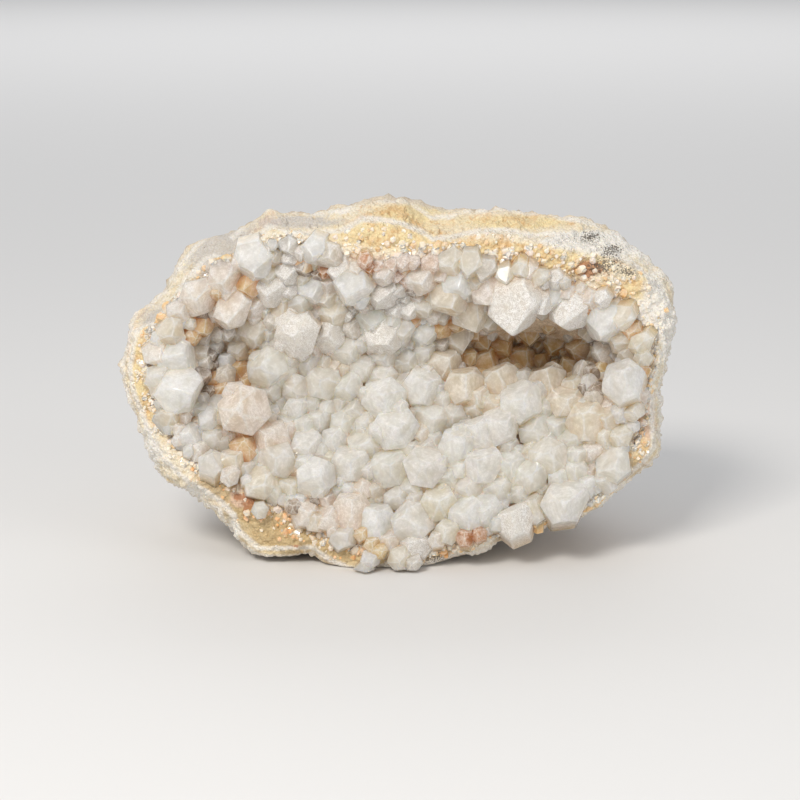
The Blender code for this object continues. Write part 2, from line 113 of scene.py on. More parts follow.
RIM = [
    (130, 365), (132, 386), (140, 409), (146, 425), (153, 440), (161, 457), (173, 467), (188, 481),
    (203, 490), (219, 500), (234, 515), (239, 531), (258, 548), (290, 548), (312, 547), (330, 560),
    (364, 573), (378, 567), (410, 566), (452, 556), (495, 537), (545, 519), (580, 510), (600, 500),
    (618, 482), (645, 460), (654, 447), (652, 425), (652, 404), (650, 385), (660, 360), (668, 338),
    (674, 320), (668, 301), (653, 281), (633, 264), (611, 252), (577, 243), (546, 233), (533, 236),
    (504, 230), (474, 232), (450, 238), (433, 239), (422, 232), (400, 223), (373, 219), (362, 219),
    (349, 227), (338, 231), (310, 234), (286, 232), (270, 225), (260, 236), (239, 257), (230, 260),
    (215, 255), (204, 260), (182, 286), (175, 301), (159, 321), (137, 330),
]
CRYSTAL_EDGE = [
    (152, 365), (154, 395), (160, 418), (172, 440), (192, 456), (215, 468), (250, 484), (290, 505),
    (325, 530), (370, 545), (410, 552), (450, 540), (500, 530), (545, 517), (580, 505), (608, 486),
    (625, 460), (638, 430), (640, 400), (646, 372), (648, 348), (630, 322), (600, 292), (570, 283),
    (540, 272), (500, 270), (460, 262), (430, 262), (385, 264), (340, 262), (310, 246), (270, 244),
    (240, 258), (212, 276), (190, 290), (166, 322), (154, 340),
]

# How much quartz bends light, and the kinds of quartz by their colour and how frosted each is
QUARTZ_IOR = 1.544
KINDS = {
    "white": ((0.96, 0.935, 0.90), 0.22),
    "milky": ((0.95, 0.895, 0.82), 0.12),
    "cream": ((0.96, 0.85, 0.72), 0.20),
    "beige": ((0.91, 0.79, 0.65), 0.20),
    "pink": ((0.94, 0.81, 0.72), 0.40),
    "frost": ((0.87, 0.84, 0.80), 0.80),
    "grey": ((0.74, 0.68, 0.61), 0.35),
    "brown": ((0.88, 0.51, 0.22), 0.20),
    "smoky": ((0.30, 0.22, 0.16), 0.35),
    "rusty": ((0.58, 0.25, 0.09), 0.60),
    "rose": ((0.80, 0.58, 0.47), 0.60),
    "amber": ((0.82, 0.57, 0.29), 0.30),
}

# The crystals: across, down and width on the front drawing, how far each stands out, its lean right and up
CRYSTALS = {
    "frost": [
        (270, 293, 26, 0.5, 0.1, -0.2), (288, 274, 23, 0.4, 0.0, 0.0), (383, 297, 25, 0.55, 0.1, -0.3),
        (515, 313, 50, 0.85, -0.1, -0.9), (569, 316, 38, 0.7, -0.1, -0.8), (297, 336, 39, 0.75, 0.0, 0.2),
        (327, 338, 26, 0.55, 0.2, 0.2), (384, 338, 30, 0.6, -0.1, 0.3), (414, 545, 24, 0.5, 0.0, -0.2),
        (398, 290, 15, 0.4, 0.0, -0.1), (409, 311, 18, 0.5, 0.0, -0.7), (514, 518, 29, 0.6, 0.1, 0.0),
    ],
    "white": [
        (254, 263, 31, 0.4, 0.1, 0.3), (312, 290, 24, 0.5, 0.0, -0.2), (313, 253, 21, 0.3, 0.1, 0.4),
        (350, 290, 36, 0.7, -0.2, -0.1), (459, 283, 28, 0.5, 0.1, 0.2), (602, 325, 36, 0.6, 0.1, -0.4),
        (548, 298, 27, 0.55, 0.0, -0.6), (178, 357, 38, 0.45, 0.1, 0.3), (183, 391, 44, 0.55, 0.3, -0.2),
        (190, 436, 22, 0.45, 0.1, -0.1), (226, 360, 16, 0.4, 0.3, 0.0), (299, 407, 22, 0.55, 0.2, 0.3),
        (307, 444, 27, 0.7, 0.1, 0.3), (317, 476, 35, 0.8, 0.0, -0.4), (384, 399, 38, 0.75, 0.0, 0.3),
        (396, 427, 41, 0.8, 0.3, 0.3), (424, 385, 34, 0.75, 0.2, 0.4), (335, 441, 24, 0.65, 0.1, 0.4),
        (352, 463, 31, 0.75, 0.0, 0.7), (426, 467, 38, 0.75, 0.2, 0.2), (520, 400, 39, 0.8, 0.1, 0.6),
        (500, 426, 38, 0.7, 0.0, 0.3), (476, 433, 34, 0.75, -0.5, 0.5), (457, 443, 37, 0.75, 0.0, 0.3),
        (484, 463, 32, 0.8, 0.1, 0.7), (622, 379, 40, 0.8, -0.1, 0.6), (565, 500, 46, 0.45, 0.0, 0.3),
        (411, 520, 36, 0.7, -0.2, 0.1), (376, 520, 32, 0.65, 0.1, 0.2), (484, 512, 28, 0.6, 0.1, 0.2),
        (466, 514, 32, 0.7, 0.1, 0.3), (371, 559, 15, 0.4, 0.0, 0.0), (619, 412, 16, 0.4, -0.2, 0.0),
        (589, 381, 13, 0.4, 0.0, 0.1), (210, 418, 18, 0.4, 0.3, 0.0), (349, 490, 13, 0.4, 0.0, 0.3),
    ],
    "milky": [
        (302, 303, 22, 0.4, 0.2, -0.2), (265, 366, 38, 0.65, 0.2, 0.0), (271, 391, 17, 0.4, 0.1, 0.2),
        (294, 387, 21, 0.5, 0.1, 0.2), (276, 458, 33, 0.65, 0.1, 0.0), (307, 363, 22, 0.5, 0.1, 0.1),
        (347, 352, 24, 0.5, 0.1, 0.1), (323, 382, 28, 0.6, 0.0, 0.5), (348, 387, 25, 0.6, 0.1, 0.2),
        (363, 368, 20, 0.5, -0.1, 0.3), (386, 357, 22, 0.5, 0.1, 0.2), (406, 362, 20, 0.45, 0.0, 0.1),
        (384, 377, 21, 0.5, 0.0, 0.2), (430, 419, 32, 0.6, 0.2, -0.1), (320, 419, 20, 0.5, 0.0, 0.2),
        (343, 423, 18, 0.45, 0.2, 0.0), (368, 441, 31, 0.65, -0.1, 0.2), (389, 467, 34, 0.7, 0.1, 0.3),
        (402, 335, 24, 0.55, 0.1, 0.2), (425, 335, 22, 0.5, 0.1, 0.1), (425, 352, 22, 0.5, 0.0, 0.2),
        (372, 318, 23, 0.5, 0.1, 0.1), (535, 428, 29, 0.6, 0.2, 0.3), (511, 465, 25, 0.65, 0.1, 0.4),
        (531, 475, 28, 0.65, 0.0, 0.3), (549, 456, 31, 0.65, 0.1, 0.3), (571, 439, 22, 0.55, 0.1, 0.3),
        (576, 455, 19, 0.5, 0.0, 0.1), (612, 464, 29, 0.5, 0.1, 0.1), (575, 472, 21, 0.5, 0.0, 0.2),
        (498, 490, 24, 0.55, 0.0, 0.1), (470, 487, 26, 0.6, -0.1, 0.3), (557, 425, 24, 0.5, 0.0, 0.2),
        (304, 425, 18, 0.4, -0.1, 0.1), (355, 409, 18, 0.45, 0.1, 0.2), (212, 461, 20, 0.5, 0.1, 0.4),
        (396, 498, 19, 0.5, 0.0, 0.2), (411, 487, 16, 0.45, 0.0, 0.2), (452, 415, 18, 0.5, 0.0, 0.2),
        (410, 449, 17, 0.5, 0.1, 0.1), (366, 423, 16, 0.45, 0.1, 0.1), (545, 408, 15, 0.4, 0.1, 0.2),
        (509, 444, 15, 0.45, 0.0, 0.2), (361, 343, 18, 0.45, 0.0, 0.1), (391, 322, 16, 0.4, 0.0, 0.1),
    ],
    "cream": [
        (262, 482, 28, 0.5, -0.2, -0.2), (291, 487, 22, 0.45, 0.1, -0.1), (438, 503, 33, 0.65, 0.0, 0.3),
        (447, 531, 20, 0.5, 0.1, 0.0), (326, 300, 17, 0.45, 0.1, -0.3), (475, 409, 22, 0.5, 0.1, 0.2),
        (535, 507, 23, 0.5, 0.1, 0.2), (620, 436, 18, 0.4, -0.1, 0.1), (480, 397, 16, 0.4, 0.0, 0.1),
        (400, 560, 18, 0.4, 0.0, -0.1), (260, 511, 12, 0.4, 0.0, 0.0), (425, 309, 19, 0.5, 0.2, -0.6),
        (364, 574, 15, 0.3, 0.0, -0.4),
    ],
    "beige": [
        (280, 313, 22, 0.4, -0.2, -0.3), (332, 316, 24, 0.5, 0.1, -0.5), (451, 302, 34, 0.55, 0.5, -0.6),
        (472, 317, 29, 0.6, 0.1, -0.9), (234, 462, 25, 0.55, 0.5, 0.1), (254, 335, 25, 0.6, 0.5, 0.1),
        (240, 349, 20, 0.5, 0.3, 0.1), (459, 341, 24, 0.55, 0.1, -0.1), (447, 363, 28, 0.6, 0.1, 0.2),
        (466, 383, 37, 0.7, -0.1, 0.3), (502, 378, 34, 0.65, 0.1, 0.2), (546, 378, 34, 0.7, 0.1, 0.3),
        (565, 400, 27, 0.6, 0.0, 0.2), (586, 421, 32, 0.7, 0.0, 0.5), (606, 420, 24, 0.55, -0.1, 0.1),
        (573, 384, 18, 0.45, -0.1, 0.1), (634, 411, 16, 0.35, -0.1, 0.1), (171, 416, 24, 0.35, -0.2, -0.3),
        (309, 488, 16, 0.4, 0.1, 0.0), (171, 333, 20, 0.4, 0.1, 0.3), (172, 332, 20, 0.4, 0.1, 0.3),
        (620, 342, 21, 0.4, 0.2, 0.0), (640, 345, 18, 0.35, 0.3, 0.2),
    ],
    "pink": [
        (199, 298, 30, 0.45, -0.3, 0.1), (244, 410, 48, 0.75, -0.3, -0.1), (232, 313, 36, 0.65, 0.5, 0.0),
        (225, 280, 27, 0.4, 0.0, 0.3), (420, 278, 27, 0.35, 0.1, 0.1), (488, 294, 27, 0.6, 0.0, -0.5),
        (515, 283, 17, 0.35, 0.0, 0.3), (269, 438, 36, 0.6, -0.1, 0.2), (351, 511, 34, 0.65, -0.1, 0.3),
        (306, 511, 22, 0.5, 0.0, 0.1), (330, 518, 19, 0.45, 0.1, 0.0), (388, 541, 22, 0.45, 0.0, -0.1),
        (590, 301, 16, 0.4, 0.1, 0.2), (384, 277, 18, 0.3, 0.0, 0.2), (360, 489, 18, 0.45, 0.0, 0.2),
        (592, 451, 17, 0.4, 0.0, 0.1), (230, 476, 15, 0.3, 0.1, -0.1), (603, 353, 19, 0.4, 0.1, 0.1),
        (567, 294, 13, 0.35, 0.0, 0.1), (326, 499, 16, 0.4, 0.0, 0.2), (437, 538, 14, 0.4, 0.0, 0.0),
    ],
    "grey": [
        (274, 322, 16, 0.4, 0.0, 0.0), (352, 328, 20, 0.5, 0.0, 0.5), (205, 364, 15, 0.4, 0.3, 0.0),
        (582, 368, 18, 0.4, -0.2, 0.0), (592, 397, 15, 0.4, -0.1, 0.1), (217, 347, 12, 0.4, 0.1, 0.0),
        (217, 336, 12, 0.4, 0.1, 0.0), (228, 335, 12, 0.4, 0.1, 0.0), (205, 340, 12, 0.4, 0.2, 0.0),
        (441, 346, 15, 0.4, 0.0, 0.1), (227, 374, 15, 0.4, 0.1, 0.1), (412, 563, 15, 0.3, 0.0, 0.0),
    ],
    # Brown crystals, most of them in the slot and the pocket: partly brown quartz, partly painted shade of
    # the recess
    "brown": [
        (202, 326, 20, 0.4, 0.2, 0.0), (227, 388, 22, 0.4, 0.2, 0.2), (488, 359, 21, 0.5, 0.0, 0.1),
        (502, 348, 20, 0.45, 0.0, 0.0), (523, 356, 21, 0.5, 0.1, 0.1), (531, 335, 22, 0.4, 0.0, -0.6),
        (554, 346, 19, 0.45, 0.0, 0.0), (578, 349, 24, 0.5, -0.2, -0.2), (484, 344, 15, 0.4, 0.0, 0.0),
        (442, 330, 15, 0.4, 0.0, 0.0), (549, 330, 12, 0.4, 0.0, -0.3), (566, 363, 17, 0.4, 0.0, 0.1),
        (194, 338, 13, 0.35, 0.1, 0.0), (305, 266, 15, 0.35, 0.0, 0.0), (248, 288, 18, 0.35, 0.0, 0.0),
        (244, 448, 20, 0.35, 0.1, 0.0), (471, 356, 13, 0.4, 0.0, 0.1),
    ],
    "amber": [
        (217, 291, 15, 0.35, 0.0, 0.2), (600, 367, 11, 0.35, 0.0, 0.1), (373, 544, 12, 0.35, 0.0, 0.0),
        (362, 532, 12, 0.4, 0.0, 0.0), (243, 430, 14, 0.5, 0.0, -0.2), (380, 552, 12, 0.4, 0.0, 0.0),
    ],
    "smoky": [
        (303, 268, 16, 0.6, 0.0, -0.3), (412, 291, 11, 0.4, 0.0, -0.2), (592, 372, 16, 0.6, -0.2, 0.0),
        (596, 390, 14, 0.6, 0.0, 0.1), (318, 275, 11, 0.5, 0.1, -0.2), (293, 506, 12, 0.5, 0.1, 0.0),
        (412, 442, 10, 0.4, 0.0, 0.0), (211, 355, 10, 0.5, 0.0, 0.0), (316, 499, 9, 0.4, 0.0, 0.1),
    ],
    "rusty": [
        (465, 536, 13, 0.45, 0.0, 0.0), (478, 534, 12, 0.45, 0.1, 0.0), (325, 272, 12, 0.5, 0.0, -0.2),
        (365, 262, 12, 0.4, 0.0, 0.0), (232, 425, 11, 0.4, 0.1, 0.0), (369, 270, 10, 0.4, 0.0, -0.1),
    ],
}

# Small crystals that fill the gaps, in two sizes: how many, and their narrowest and widest
FILLERS = ((200, 13.0, 22.0), (320, 8.0, 13.0))
FILLER_HEIGHT = (0.55, 0.90)
NEIGHBOURS = 4
FILLER_KINDS = ("milky", "milky", "cream", "beige", "white", "pink")
FILLER_SEED = 31
FILLER_EDGE = 0.985
FILLER_LEAN = 0.3
LEAST_PROUD = 0.3
# How often a small crystal is brown or dark where the hollow is deep: partly brown quartz, partly painted
# shade
DEEP_SHARE = 1.6
ROOF_DOWN = 320
ROSE_DOWN = 292
ROSE_ACROSS = (345, 450)
CROWDING = 0.36
SPREAD = (1.17, 0.90)
SPREAD_WIDTHS = (24, 42)
MOST_MISSES = 4000

# How a crystal departs from a perfect one, in shares of its width, and how its twins stand on it
BROAD_CUT = (0.02, 0.12)
NARROW_CUT = (-0.05, 0.03)
SIDE_CUT = (-0.02, 0.06)
BLUNT_FACES = (0, 0, 0, 1)
BLUNT_LEAN = 0.6
BLUNT_CUT = (0.03, 0.12)
EDGE_SHARE = 0.026
EDGE_LEAST = 0.00008
SMALLEST_EDGE = 0.02
LEAST_MEETING = 1e-3
ON_FACE = 1e-6
LEVEL_ANGLE = 0.02
TWICE_ROUNDED = 0.004
FOOT_GAP = 0.0008
TWIN_LEAST = 30
TWIN_EDGE = 0.8
TWIN_COUNTS = (1, 2, 2, 3)
TWIN_WIDTH = (0.3, 0.55)
TWIN_ASIDE = (0.30, 0.44)
TWIN_DROP = (0.05, 0.3)
TWIN_LEAN = (-0.1, 0.25)

# Crystals narrower than this are made taller, to reach this share of the height around them
BROAD_LEAST = 22
SMALL_HEIGHT = 0.85

# The sugar of tiny crystals on the rim: how many, and their widths on the drawing
SUGAR_SEED = 77
SUGAR_COUNT = 1500
SUGAR_WIDTH = (3.5, 12.0, 5.0)
SUGAR_KINDS = ("cream", "cream", "beige", "beige", "pink", "amber")
SUGAR_PLACE = (-0.1, 1.0, 0.0)
SUGAR_FACING = -0.2
SUGAR_SHRINK = 0.45
SUGAR_LEAN = 0.5
SUGAR_PULL = Vector((0, -0.3, 0))
SUGAR_PROUD = (-0.15, 0.2)
SANDY_SHARE = 1.2

# The layer that the crystals grow from, and how it is painted where no crystal is
LAYER_STEPS = 96
LAYER_RINGS = [0.1 * step for step in range(1, 9)] + [0.86, 0.91, 0.95, 0.98, 1.0]
LAYER_FADE = (0.86, 1.0)
LAYER_RELIEF = 0.0006
LAYER_GRAIN = 0.0022
LAYER_TINT = (0.72, 0.50, 0.27, 1.0)
LAYER_FROST = 0.9
# The layer counts as deep as a root, so it takes the full brown: painted shade in the gaps, partly stain
LAYER_DEPTH = 1.5
TINT_LUCK = 0.05

# How finely the rock is broken up, in metres
FRONT_EDGE = 0.00072
BACK_EDGE = 0.0016
HIDDEN_EDGE = 0.0030
EDGE_CHANGE = (-0.018, 0.004)
HIDDEN_DEPTH = (-0.002, 0.03)
HOLLOW_SHARE = 0.97
LEAST_FACES = 3
MOST_SPLITS = 8

# The rock's relief: its height behind and in front, its size, its octaves, and where in the noise it is taken
RELIEF = (
    (0.00169, 0.00039, 0.0080, 4, 1.7), (0.0016, 0.0, 0.016, 2, 9.3),
    (0.0008, 0.0008, 0.0030, 3, 4.2), (0.0, 0.00045, 0.0010, 2, 7.9),
)
KNOBS = ((0.00027, 0.0009, 0.0018), (0.0016, 0.0, 0.0055))
KNOB_MIDDLE = 0.6
RELIEF_CHANGE = (-0.016, 0.022)
HIDDEN_SMOOTH = 0.7
FOOT_FADE = 0.004

# Where the front colours of the rock show, and how far its white crests reach, which are partly white rock
# and partly a painted highlight along the ridges
PAINT_CHANGE = (-0.010, 0.006)
PAINT_FACING = (-0.05, 0.25)
CREST_REACH = 5.0

# The stains of the rock on the front drawing: across, down, and how far each reaches across and down
STAINS = {
    "ochre": [
        (143, 355, 14, 20), (137, 377, 12, 14), (143, 400, 12, 14), (163, 428, 14, 10), (155, 411, 10, 8),
        (380, 235, 60, 14), (480, 252, 60, 12), (560, 262, 50, 14), (640, 292, 28, 16), (645, 440, 12, 40),
        (300, 540, 60, 20), (250, 505, 25, 20), (380, 555, 40, 14), (410, 212, 40, 10), (520, 222, 60, 8),
    ],
    "pink": [
        (400, 272, 40, 18), (330, 262, 30, 12), (245, 493, 14, 14), (350, 530, 40, 14), (545, 285, 30, 10),
        (645, 395, 10, 30), (270, 222, 14, 6), (240, 500, 8, 8), (648, 425, 8, 20),
    ],
    "sand": [
        (285, 532, 60, 24), (240, 500, 24, 16), (330, 555, 34, 14), (215, 480, 22, 14), (440, 558, 40, 10),
        (500, 536, 50, 8), (640, 470, 16, 20),
    ],
    "grey": [
        (220, 262, 40, 30), (300, 222, 50, 8), (160, 320, 24, 16), (230, 245, 20, 20),
    ],
    "white": [
        (629, 316, 22, 18), (575, 240, 40, 8), (290, 268, 12, 8), (620, 245, 50, 14), (655, 300, 12, 40),
        (150, 455, 12, 30), (190, 493, 20, 8), (232, 535, 8, 20), (670, 340, 8, 30),
    ],
    "rust": [
        (590, 268, 22, 10), (163, 428, 8, 5), (468, 539, 14, 5), (369, 543, 8, 6), (358, 528, 8, 6),
        (250, 500, 8, 12), (285, 258, 14, 10), (590, 301, 8, 8), (619, 329, 3, 3), (635, 448, 4, 4),
        (621, 469, 3, 3), (510, 274, 4, 3), (238, 497, 5, 4), (246, 512, 4, 6), (296, 546, 8, 3),
        (335, 548, 8, 4),
    ],
    "dark": [
        (603, 266, 20, 9), (611, 250, 12, 6), (629, 273, 8, 5), (283, 507, 12, 6), (432, 557, 14, 6),
        (412, 291, 6, 5), (590, 237, 12, 6),
    ],
}


# How each stain shows: where its mask starts and ends, how broken up and how strong it is, and its colour
STAIN_LOOKS = {
    "ochre": (0.22, 0.70, 1.1, 0.80, (0.88, 0.73, 0.41, 1)),
    "sand": (0.25, 0.75, 1.1, 0.80, (0.58, 0.43, 0.23, 1)),
    "pink": (0.35, 0.80, 1.8, 0.70, (0.80, 0.58, 0.48, 1)),
    "grey": (0.35, 0.75, 1.1, 0.80, (0.60, 0.58, 0.57, 1)),
    "white": (0.30, 0.65, 1.1, 0.90, (0.90, 0.89, 0.86, 1)),
    # The crests: partly white rock, partly a painted highlight along the ridges
    "crest": (0.50, 0.95, 1.1, 0.85, (0.93, 0.91, 0.87, 1)),
    "rust": (0.45, 0.80, 2.6, 0.85, (0.46, 0.20, 0.09, 1)),
}


def mix(start, end, share):
    return start + (end - start) * share


def smooth_step(value, low, high):
    t = np.clip((value - low) / (high - low), 0.0, 1.0)
    return t * t * (3 - 2 * t)


def drawn_point(across, down, y):
    """The point in space, at the given y, that the front drawing shows at a place."""
    step = DRAWING_UNIT / SIGHT_DISTANCE
    ray = AHEAD + UPWARD * (DRAWING_MIDDLE[1] - down) * step
    ray.x += (across - DRAWING_MIDDLE[0]) * step
    return EYE + ray * ((y - EYE.y) / ray.y)


def places_of(points):
    """The places on the front drawing at which some points are seen."""
    sight = points - np.array(EYE)
    step = DRAWING_UNIT / SIGHT_DISTANCE * (sight @ np.array(AHEAD))
    return DRAWING_MIDDLE[0] + sight[:, 0] / step, DRAWING_MIDDLE[1] - sight @ np.array(UPWARD) / step


def polar(across, down):
    """The angle and distance of a place from the middle of the drawing."""
    aside = across - DRAWING_MIDDLE[0]
    up = DRAWING_MIDDLE[1] - down
    return np.arctan2(up, aside), np.hypot(aside, up)


def outline_reach(points):
    """The distance from the middle of the drawing to a drawn outline, as a function of the angle."""
    angles, reach = polar(*np.array(points).T)
    return lambda angle: np.interp(angle, angles, reach, period=2 * math.pi)


def values_of(items, name, kind, wide=1):
    """One property of many items, as an array."""
    found = np.empty(wide * len(items), kind)
    items.foreach_get(name, found)
    return found if wide == 1 else found.reshape(-1, wide)


def new_object(name, bm):
    mesh = bpy.data.meshes.new(name)
    bm.to_mesh(mesh)
    bm.free()
    return bpy.data.objects.new(name, mesh)


def link(obj):
    bpy.context.scene.collection.objects.link(obj)


OUTLINE_REACH = outline_reach(OUTLINE)
RIM_REACH = outline_reach(RIM)
CRYSTAL_REACH = outline_reach(CRYSTAL_EDGE)


def drawing_place(angle, reach):
    return DRAWING_MIDDLE[0] + reach * math.cos(angle), DRAWING_MIDDLE[1] - reach * math.sin(angle)


def rim_y(across, down):
    """The y of the rim plane, which leans back and falls away to both sides."""
    lean = (RIM_FOOT_DOWN - down) / (RIM_FOOT_DOWN - RIM_TOP_DOWN)
    aside = (across - DRAWING_MIDDLE[0]) / SIDE_REACH
    fall = np.where(aside > 0, SIDE_FALL_RIGHT, SIDE_FALL_LEFT)
    return RIM_FOOT_Y + (RIM_TOP_Y - RIM_FOOT_Y) * lean + fall * aside * aside


def swell(across, down, place, reach):
    """A smooth swelling, 1 at its place and fading out over its reach."""
    return np.exp(-((across - place[0]) / reach[0]) ** 2 - ((down - place[1]) / reach[1]) ** 2)


def bed_y(across, down):
    """The y of the hollow's bed, which the crystals stand on."""
    angle, reach = polar(across, down)
    open_share = max(1.0 - (reach / CRYSTAL_REACH(angle)) ** BOWL_POWER, 0.0)
    fade = min(1.0, EDGE_FADE * open_share)
    depth = LIP_DEPTH + BOWL_DEPTH * open_share
    depth += SLOT_DEPTH * swell(across, down, SLOT_PLACE, SLOT_REACH) * fade
    depth += POCKET_DEPTH * swell(across, down, POCKET_PLACE, POCKET_REACH) * fade
    depth -= FLOOR_SWELL * swell(across, down, FLOOR_PLACE, FLOOR_REACH) * open_share
    return rim_y(across, down) + depth


def bed_point(across, down):
    return drawn_point(across, down, bed_y(across, down))


def bed_normal(across, down):
    """The direction in which the bed faces, out of the hollow."""
    sideways = bed_point(across + SLOPE_STEP, down) - bed_point(across - SLOPE_STEP, down)
    upward = bed_point(across, down - SLOPE_STEP) - bed_point(across, down + SLOPE_STEP)
    return sideways.cross(upward).normalized()


class Wire:
    """One output of a shader node. Plain sums on wires add the nodes that work them out."""

    def __init__(self, tree, output=None):
        self.tree = tree
        self.output = output

    def make(self, kind, settings, inputs, output):
        """Add a node: its settings first, then the values or wires of its sockets. Returns one output."""
        node = self.tree.nodes.new(kind)
        for name, value in settings.items():
            if name != "stops":
                setattr(node, name, value)
                continue
            ramp = node.color_ramp.elements
            while len(ramp) < len(value):
                ramp.new(0.5)
            for stop, (position, colour) in zip(ramp, value):
                stop.position = position
                stop.color = colour
        for name, value in inputs.items():
            if isinstance(value, Wire):
                self.tree.links.new(value.output, node.inputs[name])
            else:
                node.inputs[name].default_value = value
        return Wire(self.tree, node.outputs[output]) if node.outputs else None

    def blend(self, share, first, second, how="MIX"):
        """Mix two colours."""
        settings = {"data_type": "RGBA", "blend_type": how}
        return self.make("ShaderNodeMix", settings, {0: share, 6: first, 7: second}, 2)

    def attribute(self, name, output="Fac"):
        return self.make("ShaderNodeAttribute", {"attribute_name": name}, {}, output)

    def noise(self, scale, detail, **more):
        """Soft noise over the place that this wire gives."""
        sockets = {"Vector": self, "Scale": scale, "Detail": detail, **more}
        return self.make("ShaderNodeTexNoise", {}, sockets, "Fac")

    def cells(self, scale):
        """The distance to the nearest of many scattered points, over the place that this wire gives."""
        return self.make("ShaderNodeTexVoronoi", {}, {"Vector": self, "Scale": scale}, "Distance")

    def ramp(self, *stops):
        """The colour that this value has on a row of stops, each a position and a colour."""
        return self.make("ShaderNodeValToRGB", {"stops": stops}, {"Fac": self}, "Color")

    def rise(self, low, high, first=0, last=1):
        """A mask that goes from its first level to its last as this value goes from low to high."""
        return self.ramp((low, (first, first, first, 1)), (high, (last, last, last, 1)))

    def bump(self, strength, distance):
        sockets = {"Strength": strength, "Distance": distance, "Height": self}
        return self.make("ShaderNodeBump", {}, sockets, "Normal")

    def work_out(self, how, first, second):
        """A sum of two sides, as numbers where both are numbers and else as colours."""
        sides = (first, second)
        if all(side.output.type == "VALUE" if isinstance(side, Wire) else isinstance(side, float)
               for side in sides):
            return self.make("ShaderNodeMath", {"operation": how}, {0: first, 1: second}, 0)
        first, second = (side if isinstance(side, (Wire, tuple)) else (side, side, side, 1.0)
                         for side in sides)
        return self.blend(1.0, first, second, how)

    def __add__(self, other):
        return self.work_out("ADD", self, other)

    def __radd__(self, other):
        return self.work_out("ADD", other, self)

    def __sub__(self, other):
        return self.work_out("SUBTRACT", self, other)

    def __rsub__(self, other):
        return self.work_out("SUBTRACT", other, self)

    def __mul__(self, other):
        return self.work_out("MULTIPLY", self, other)

    def __rmul__(self, other):
        return self.work_out("MULTIPLY", other, self)


def crystal_faces(axis, width, root, dice):
    """The flat faces of one crystal, as directions and distances from its head point."""
    across = axis.orthogonal().normalized()
    beside = axis.cross(across)
    twist = dice.uniform(0, math.pi / 3)
    squash = 1 - dice.uniform(0, SQUASH)
    shift = [dice.uniform(-POINT_SHIFT, POINT_SHIFT) * width for _ in range(2)]
    point_height = 0.5 * width * math.tan(POINT_SLOPE)
    shoulder = -axis * (SHOULDER_DROP - 0.5) * point_height
    tip = shoulder + axis * point_height + across * shift[0] + beside * shift[1]
    corners = []
    for k in range(6):
        around = twist + k * math.pi / 3
        sideways = across * math.cos(around) + beside * (math.sin(around) * squash)
        corners.append(shoulder + sideways * width / math.sqrt(3))
    faces = [(-axis, root)]
    for k, corner in enumerate(corners):
        along = corners[(k + 1) % 6] - corner
        side = along.cross(axis).normalized()
        slope = along.cross(tip - corner).normalized()
        cut = dice.uniform(*(BROAD_CUT if k % 2 else NARROW_CUT)) * width
        faces.append((side, side.dot(corner) - dice.uniform(*SIDE_CUT) * width))
        faces.append((slope, slope.dot(tip) - cut))
    for _ in range(dice.choice(BLUNT_FACES)):
        lean = across * dice.uniform(-BLUNT_LEAN, BLUNT_LEAN) + beside * dice.uniform(-BLUNT_LEAN, BLUNT_LEAN)
        blunt = (axis + lean).normalized()
        faces.append((blunt, blunt.dot(tip) - dice.uniform(*BLUNT_CUT) * width))
    return faces


def face_corners(faces):
    """The corners of the solid that lies behind all of some flat faces."""
    normals = np.array([direction[:] for direction, _ in faces])
    distances = np.array([distance for _, distance in faces])
    picks = np.array(list(itertools.combinations(range(len(faces)), 3)))
    picks = picks[np.abs(np.linalg.det(normals[picks])) > LEAST_MEETING]
    corners = np.linalg.solve(normals[picks], distances[picks][..., None])[..., 0]
    return corners[(corners @ normals.T <= distances + ON_FACE).all(axis=1)]


def crystal_object(index, head, faces, edge_rounding, steps):
    """One crystal in millimetres, as a closed mesh, its edges rounded in some steps or left sharp.

    Its faces hold its index, and the rounded ones are marked for the painted edge highlight.
    """
    faces.append((Vector((0, 0, -1)), head.z - FOOT_GAP * MM))
    bm = bmesh.new()
    number = bm.faces.layers.int.new("crystal")
    worn = bm.faces.layers.int.new("worn")
    for corner in face_corners(faces):
        bm.verts.new(head + Vector(corner))
    bmesh.ops.remove_doubles(bm, verts=bm.verts, dist=SMALLEST_EDGE)
    hull = bmesh.ops.convex_hull(bm, input=bm.verts)
    inner = hull["geom_interior"] + hull["geom_unused"]
    spare = {item for item in inner if isinstance(item, bmesh.types.BMVert)}
    bmesh.ops.delete(bm, geom=list(spare), context="VERTS")
    bmesh.ops.dissolve_limit(bm, angle_limit=LEVEL_ANGLE, verts=bm.verts, edges=bm.edges)
    bmesh.ops.recalc_face_normals(bm, faces=bm.faces)
    if steps:
        rounding = bmesh.ops.bevel(
            bm, geom=bm.edges[:], offset=edge_rounding, segments=steps, profile=0.5, affect="EDGES",
            clamp_overlap=True)
        for face in rounding["faces"]:
            face.smooth = True
            face[worn] = 1
    for face in bm.faces:
        face[number] = index
    return new_object("crystal", bm)


def crystal_placing(across, down, width, proud, lean_right, lean_up, dice):
    """The head point, axis, real width and root length of a crystal that grows from the bed."""
    real_width = width * DRAWING_UNIT * OVERLAP
    pull = Vector((LEAN_PULL * lean_right, -FRONT_PULL, LEAN_PULL * lean_up + LIGHT_PULL))
    axis = bed_normal(across, down) + pull
    axis += Vector([dice.uniform(-LEAN_UNEVENNESS, LEAN_UNEVENNESS) for _ in range(3)])
    axis.normalize()
    y = bed_y(across, down) - real_width * (proud + RISE)
    root = real_width * (proud + RISE + ROOT_LENGTH)
    return drawn_point(across, down, y), axis, real_width, root


def height_around(across, down, rows):
    """How far the crystals around a place stand out from the bed, in drawing units."""
    near = sorted(rows, key=lambda row: math.hypot(across - row[0], down - row[1]))[:NEIGHBOURS]
    return sum(row[2] * (row[3] + RISE) for row in near) / len(near)


